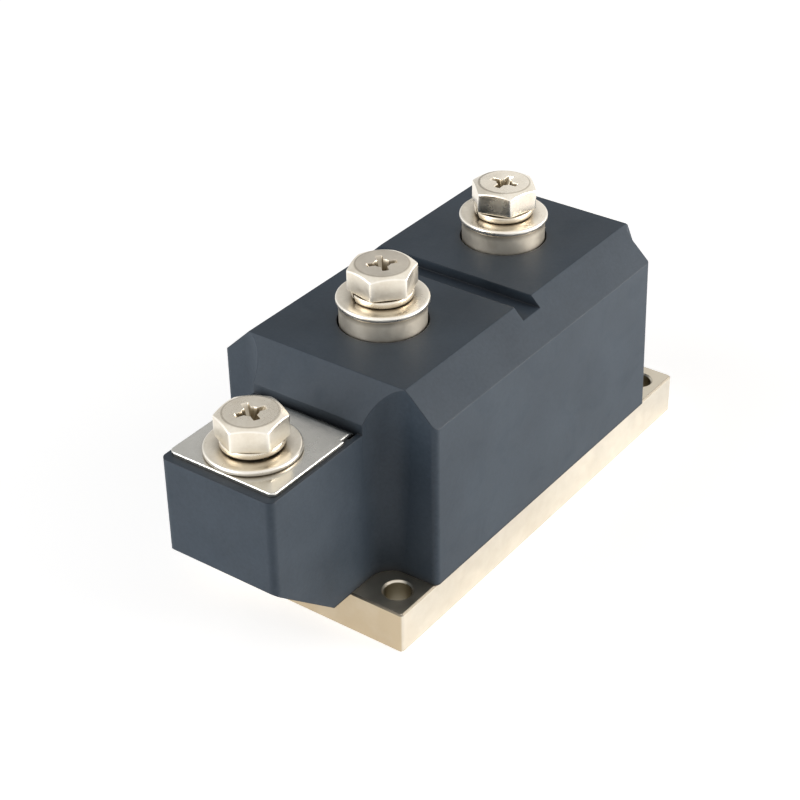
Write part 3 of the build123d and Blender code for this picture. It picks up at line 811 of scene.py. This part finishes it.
class DIODE_OT_terminal_hardware(bpy.types.Operator):
    """Builds the bolts, spring washers and plain washers of the three terminals"""

    bl_idname = "diode_module.terminal_hardware"
    bl_label = "Build the terminal hardware"

    def execute(self, context):
        hardware, tones, _ = settings()
        plated = dict(metallic=1.0, edge=0.12, smears=0.10, contact_colour=METAL_CREASE)
        for place in PLACES:
            centre, _ = box_centre(f"{place}_plain_washer")
            # Hardware colours scaled by each terminal's own brightness, which is painted light
            warm, bright = (
                tuple(BOLT_TONES[place] * channel for channel in tone)
                for tone in (tones.nickel_warm, tones.nickel_bright)
            )
            # Bolt: painted shade on its flat top, in its recess and round its crown, a painted highlight on
            # its edges, and painted shade where other faces come close
            bolt = finish(
                f"{place}_bolt_plating", warm, bright, BOLT_ROUGHNESS[place],
                edge_colour=(0.92, 0.89, 0.82), edge_share=0.25,
                cloud=220.0, speck=1500.0, grain=2600.0, bump=0.005, contact=0.35,
                masks=(
                    ("flat_top", TOP_PAINTED_SHADE, TOP_SHADE_SHARE[place]),
                    ("edge", (0.98, 0.95, 0.89), 0.55),
                    ("crown_line", METAL_CREASE, 0.45),
                    ("recess", RECESS_SHADE, 0.6),
                ),
                **plated,
            )
            # Spring washer: a painted highlight on its edges and painted shade where other faces come close
            spring = finish(
                f"{place}_split_plating", warm, bright, (0.22, 0.34), edge_colour=(0.92, 0.89, 0.82),
                cloud=260.0, speck=1500.0, grain=2400.0, bump=0.006, contact=0.6, **plated,
            )
            # Plain washer: a painted highlight on its rim and edges, and painted shade where other faces
            # come close
            washer = finish(
                f"{place}_washer_plating", warm, bright, (0.24, 0.34), edge_colour=(0.94, 0.92, 0.87),
                cloud=160.0, speck=1200.0, grain=2000.0, bump=0.004, contact=0.7,
                marks=("turned", {"Centre": (*centre[:2], 0.0), "Scale": 1500.0}), marks_depth=0.002,
                masks=(("edge", (0.96, 0.93, 0.87), 0.6),), **plated,
            )
            for build, material in ((terminal_bolt, bolt), (spring_washer, spring), (plain_washer, washer)):
                piece, node = build(place, hardware)
                stand_in(piece, node, material)
        return {"FINISHED"}


# Ends of the names of the nodes that take each inner finish, and its values
INNER_FINISHES = {
    "inner_plated_steel": (
        ("captive_nut", "_pressure_plate", "_clamp_screws"),
        dict(dark=(0.55, 0.53, 0.49), light=(0.68, 0.66, 0.62), roughness=(0.28, 0.42), metallic=1.0),
    ),
    "oiled_spring_steel": (
        ("_disc_springs",),
        dict(dark=(0.27, 0.27, 0.28), light=(0.40, 0.39, 0.39), roughness=(0.25, 0.40), metallic=1.0),
    ),
    "lapped_molybdenum": (
        ("_molybdenum_disc",),
        dict(dark=(0.42, 0.43, 0.46), light=(0.53, 0.54, 0.56), roughness=(0.35, 0.48), metallic=1.0),
    ),
    "polished_silicon": (
        ("_silicon_diode",),
        dict(dark=(0.10, 0.11, 0.15), light=(0.17, 0.18, 0.22), roughness=(0.08, 0.16), metallic=0.6),
    ),
    "fired_ceramic": (
        ("_ceramic_insulator",),
        dict(dark=(0.72, 0.71, 0.67), light=(0.82, 0.81, 0.78), roughness=(0.38, 0.52)),
    ),
    "filled_resin": (
        ("_chip_ring", "_insulating_bush"),
        dict(dark=(0.42, 0.34, 0.21), light=(0.54, 0.46, 0.31), roughness=(0.48, 0.62)),
    ),
    "cured_sealant": (
        ("housing_seal",),
        dict(dark=(0.030, 0.030, 0.033), light=(0.050, 0.050, 0.054), roughness=(0.42, 0.58)),
    ),
    "moulded_seal_rubber": (
        ("_post_seal",),
        dict(dark=(0.010, 0.010, 0.010), light=(0.020, 0.020, 0.021), roughness=(0.55, 0.70)),
    ),
    "clear_potting_gel": (
        ("silicone_gel",),
        dict(dark=(0.62, 0.66, 0.64), light=(0.74, 0.77, 0.74), roughness=(0.12, 0.24), coat=0.3),
    ),
}


class DIODE_OT_inner_parts(bpy.types.Operator):
    """Gives every piece inside the housing its own finish"""

    bl_idname = "diode_module.inner_parts"
    bl_label = "Finish the inner pieces"

    def execute(self, context):
        for name, (endings, values) in INNER_FINISHES.items():
            material = finish(name, **values)
            dressed = [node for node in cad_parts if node.endswith(endings)]
            if not dressed:
                raise RuntimeError(f"no packed node takes the finish {name}")
            for node in dressed:
                dress(node, material)
        return {"FINISHED"}


def seen_directly(tree):
    """1 for rays that show a surface as it is: from the camera, in a mirror or through glass."""
    path = add_node(tree, "ShaderNodeLightPath").outputs
    seen = maths(tree, "MAXIMUM", path["Is Camera Ray"], path["Is Glossy Ray"])
    return maths(tree, "MAXIMUM", seen, path["Is Transmission Ray"])


def stage_disc(name, grid, middle):
    """Piece of the stage from rings that shrink towards a middle point, and its empty material's tree."""
    rows, columns = grid.shape[:2]
    points = np.concatenate([grid.reshape(-1, 3), [middle]])
    centre = fan(rows - 1, columns, rows * columns)
    piece = add_mesh(name, points, quads(rows, columns, False) + centre.tolist())
    material = bpy.data.materials.new(name)
    material.use_nodes = True
    material.cycles.emission_sampling = "NONE"
    material.node_tree.nodes.clear()
    piece.data.materials.append(material)
    return piece, material.node_tree


def add_floor(stage):
    """Round pale floor of shrinking rings, each point (radius cos a, radius sin a, 0). It adds some white of
    its own where it is seen, and more of it further off, where the lamps don't reach."""
    rings = np.geomspace(*FLOOR_RADII, FLOOR_RINGS)[:, None]
    angle = np.linspace(0, 2 * np.pi, FLOOR_COLUMNS, endpoint=False)
    grid = around(rings, angle, FLOOR_HEIGHT)
    floor, tree = stage_disc("studio_floor", grid, (0.0, 0.0, FLOOR_HEIGHT))
    diffuse = add_node(tree, "ShaderNodeBsdfDiffuse", {"Color": (*stage.floor_colour, 1.0)}).outputs[0]
    place = add_node(tree, "ShaderNodeTexCoord").outputs["Object"]
    way_off = vector_maths(tree, "LENGTH", place)["Value"]
    white = spread(tree, way_off, FLOOR_WHITENS, (stage.floor_glow, stage.floor_far_glow))
    strength = maths(tree, "MULTIPLY", seen_directly(tree), white)
    glow = add_node(tree, "ShaderNodeEmission", {"Strength": strength}).outputs[0]
    both = add_node(tree, "ShaderNodeAddShader", {0: diffuse, 1: glow}).outputs[0]
    add_node(tree, "ShaderNodeOutputMaterial", {"Surface": both})


def add_world(stage):
    """Even room light, shown as white wherever it is seen directly."""
    world = bpy.data.worlds.new("studio")
    world.use_nodes = True
    world.cycles.sampling_method = "NONE"
    bpy.context.scene.world = world
    tree = world.node_tree
    background = tree.nodes["Background"]
    background.inputs["Color"].default_value = (1.0, 1.0, 1.0, 1.0)
    extra = maths(tree, "MULTIPLY", seen_directly(tree), 1.0 - stage.sky_strength)
    tree.links.new(maths(tree, "ADD", extra, stage.sky_strength), background.inputs["Strength"])


def add_card(stage):
    """Grey card behind the module, on the line that its level faces mirror to the camera. It gives no light
    of its own to the module and is seen in its bright metal only. It is a shallow bowl: each point lies on a
    sphere round the module, at an angle from the card's middle that shrinks with the ring. Its tone follows
    the azimuth, as the quotient of Y and X."""
    ring = np.linspace(stage.card_spread, 0.0, CARD_RINGS + 1)[:-1, None]
    angle = np.linspace(0, 2 * np.pi, CARD_COLUMNS, endpoint=False)
    middle = Vector((-math.sin(stage.azimuth), math.cos(stage.azimuth), math.tan(stage.elevation)))
    turned = np.array(middle.normalized().to_track_quat("Z", "Y").to_matrix())
    bowl = stage.card_distance * around(np.sin(ring), angle, np.cos(ring)) @ turned.T
    card, tree = stage_disc("grey_card", bowl, stage.card_distance * turned[:, 2])
    place = parts(tree, add_node(tree, "ShaderNodeTexCoord").outputs["Object"])
    slope = maths(tree, "DIVIDE", place["Y"], place["X"])
    far_border, near_border = np.tan(np.radians([CARD_FAR_BORDER, CARD_NEAR_BORDER]))
    far_tone = spread(tree, slope, far_border, (stage.card_bright, stage.card_tone))
    near_tone = spread(tree, slope, near_border, (0.0, stage.card_near - stage.card_tone))
    strength = maths(tree, "ADD", far_tone, near_tone)
    glow = add_node(tree, "ShaderNodeEmission", {"Strength": strength}).outputs[0]
    add_node(tree, "ShaderNodeOutputMaterial", {"Surface": glow})
    card.visible_camera = False
    card.visible_diffuse = False
    card.visible_shadow = False


def add_lamp(name, place, watts, side, tint):
    """Square softbox that looks at the module's middle. It isn't seen by the camera."""
    light = bpy.data.lights.new(name, "AREA")
    light.shape = "SQUARE"
    light.size = side
    light.energy = watts
    light.color = tint
    lamp = bpy.data.objects.new(name, light)
    lamp.location = place
    aim = Vector(LAMP_TARGET) - Vector(place)
    lamp.rotation_euler = aim.to_track_quat("-Z", "Y").to_euler()
    lamp.visible_camera = False
    bpy.context.scene.collection.objects.link(lamp)


def add_camera(stage):
    """Camera on the photograph's viewing line: it looks at the target from an azimuth and an elevation, slid
    sideways and upwards in its own frame and rolled a little."""
    azimuth, elevation, roll = stage.azimuth, stage.elevation, stage.roll
    back = Vector((
        math.sin(azimuth) * math.cos(elevation),
        -math.cos(azimuth) * math.cos(elevation),
        math.sin(elevation),
    ))
    level = Vector((math.cos(azimuth), math.sin(azimuth), 0.0))
    upright = back.cross(level)
    right = level * math.cos(roll) + upright * math.sin(roll)
    up = upright * math.cos(roll) - level * math.sin(roll)
    data = bpy.data.cameras.new("photo_view")
    data.lens = stage.focal_length
    data.sensor_width = 36.0
    data.shift_x = stage.shift_x
    data.shift_y = stage.shift_y
    data.clip_start = 0.01
    camera = bpy.data.objects.new("photo_view", data)
    target = Vector((0.0, 0.0, stage.target_height))
    place = target + back * stage.distance - right * stage.slide_left + up * stage.slide_up
    camera.matrix_world = Matrix.Translation(place) @ Matrix((right, up, back)).transposed().to_4x4()
    bpy.context.scene.collection.objects.link(camera)
    bpy.context.scene.camera = camera


class DIODE_OT_stage(bpy.types.Operator):
    """Sets up the floor, the room light, the card, the lamps and the camera"""

    bl_idname = "diode_module.stage"
    bl_label = "Set the stage"

    def execute(self, context):
        _, _, stage = settings()
        add_floor(stage)
        add_world(stage)
        add_card(stage)
        for name, place, setting, side, tint in LAMPS:
            add_lamp(name, place, getattr(stage, setting), side, tint)
        add_camera(stage)
        context.scene.view_settings.view_transform = "Standard"
        return {"FINISHED"}


class DIODE_PT_looks(bpy.types.Panel):
    """Steps and settings of the diode module"""

    bl_idname = "DIODE_PT_looks"
    bl_label = "Diode Module"
    bl_space_type = "VIEW_3D"
    bl_region_type = "UI"
    bl_category = "Diode Module"

    def draw(self, context):
        for step in STEPS:
            self.layout.operator(step.bl_idname)
        for group in settings():
            box = self.layout.box()
            for name in group.bl_rna.properties.keys():
                if name not in ("rna_type", "name"):
                    box.prop(group, name)


GROUPS = {"diode_hardware": HardwareSettings, "diode_finish": FinishSettings, "diode_stage": StageSettings}
STEPS = (
    DIODE_OT_housing,
    DIODE_OT_plated_copper,
    DIODE_OT_terminal_hardware,
    DIODE_OT_inner_parts,
    DIODE_OT_stage,
)


def register():
    """Registers the settings, the steps and the panel."""
    for title, group in GROUPS.items():
        bpy.utils.register_class(group)
        setattr(bpy.types.Scene, title, PointerProperty(type=group))
    for step in (*STEPS, DIODE_PT_looks):
        bpy.utils.register_class(step)


def unregister():
    """Takes them out again."""
    for step in (DIODE_PT_looks, *reversed(STEPS)):
        bpy.utils.unregister_class(step)
    for title, group in GROUPS.items():
        delattr(bpy.types.Scene, title)
        bpy.utils.unregister_class(group)


def main():
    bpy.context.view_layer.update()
    register()
    for step in STEPS:
        family, name = step.bl_idname.split(".")
        getattr(getattr(bpy.ops, family), name)()


if __name__ == "__main__":
    main()
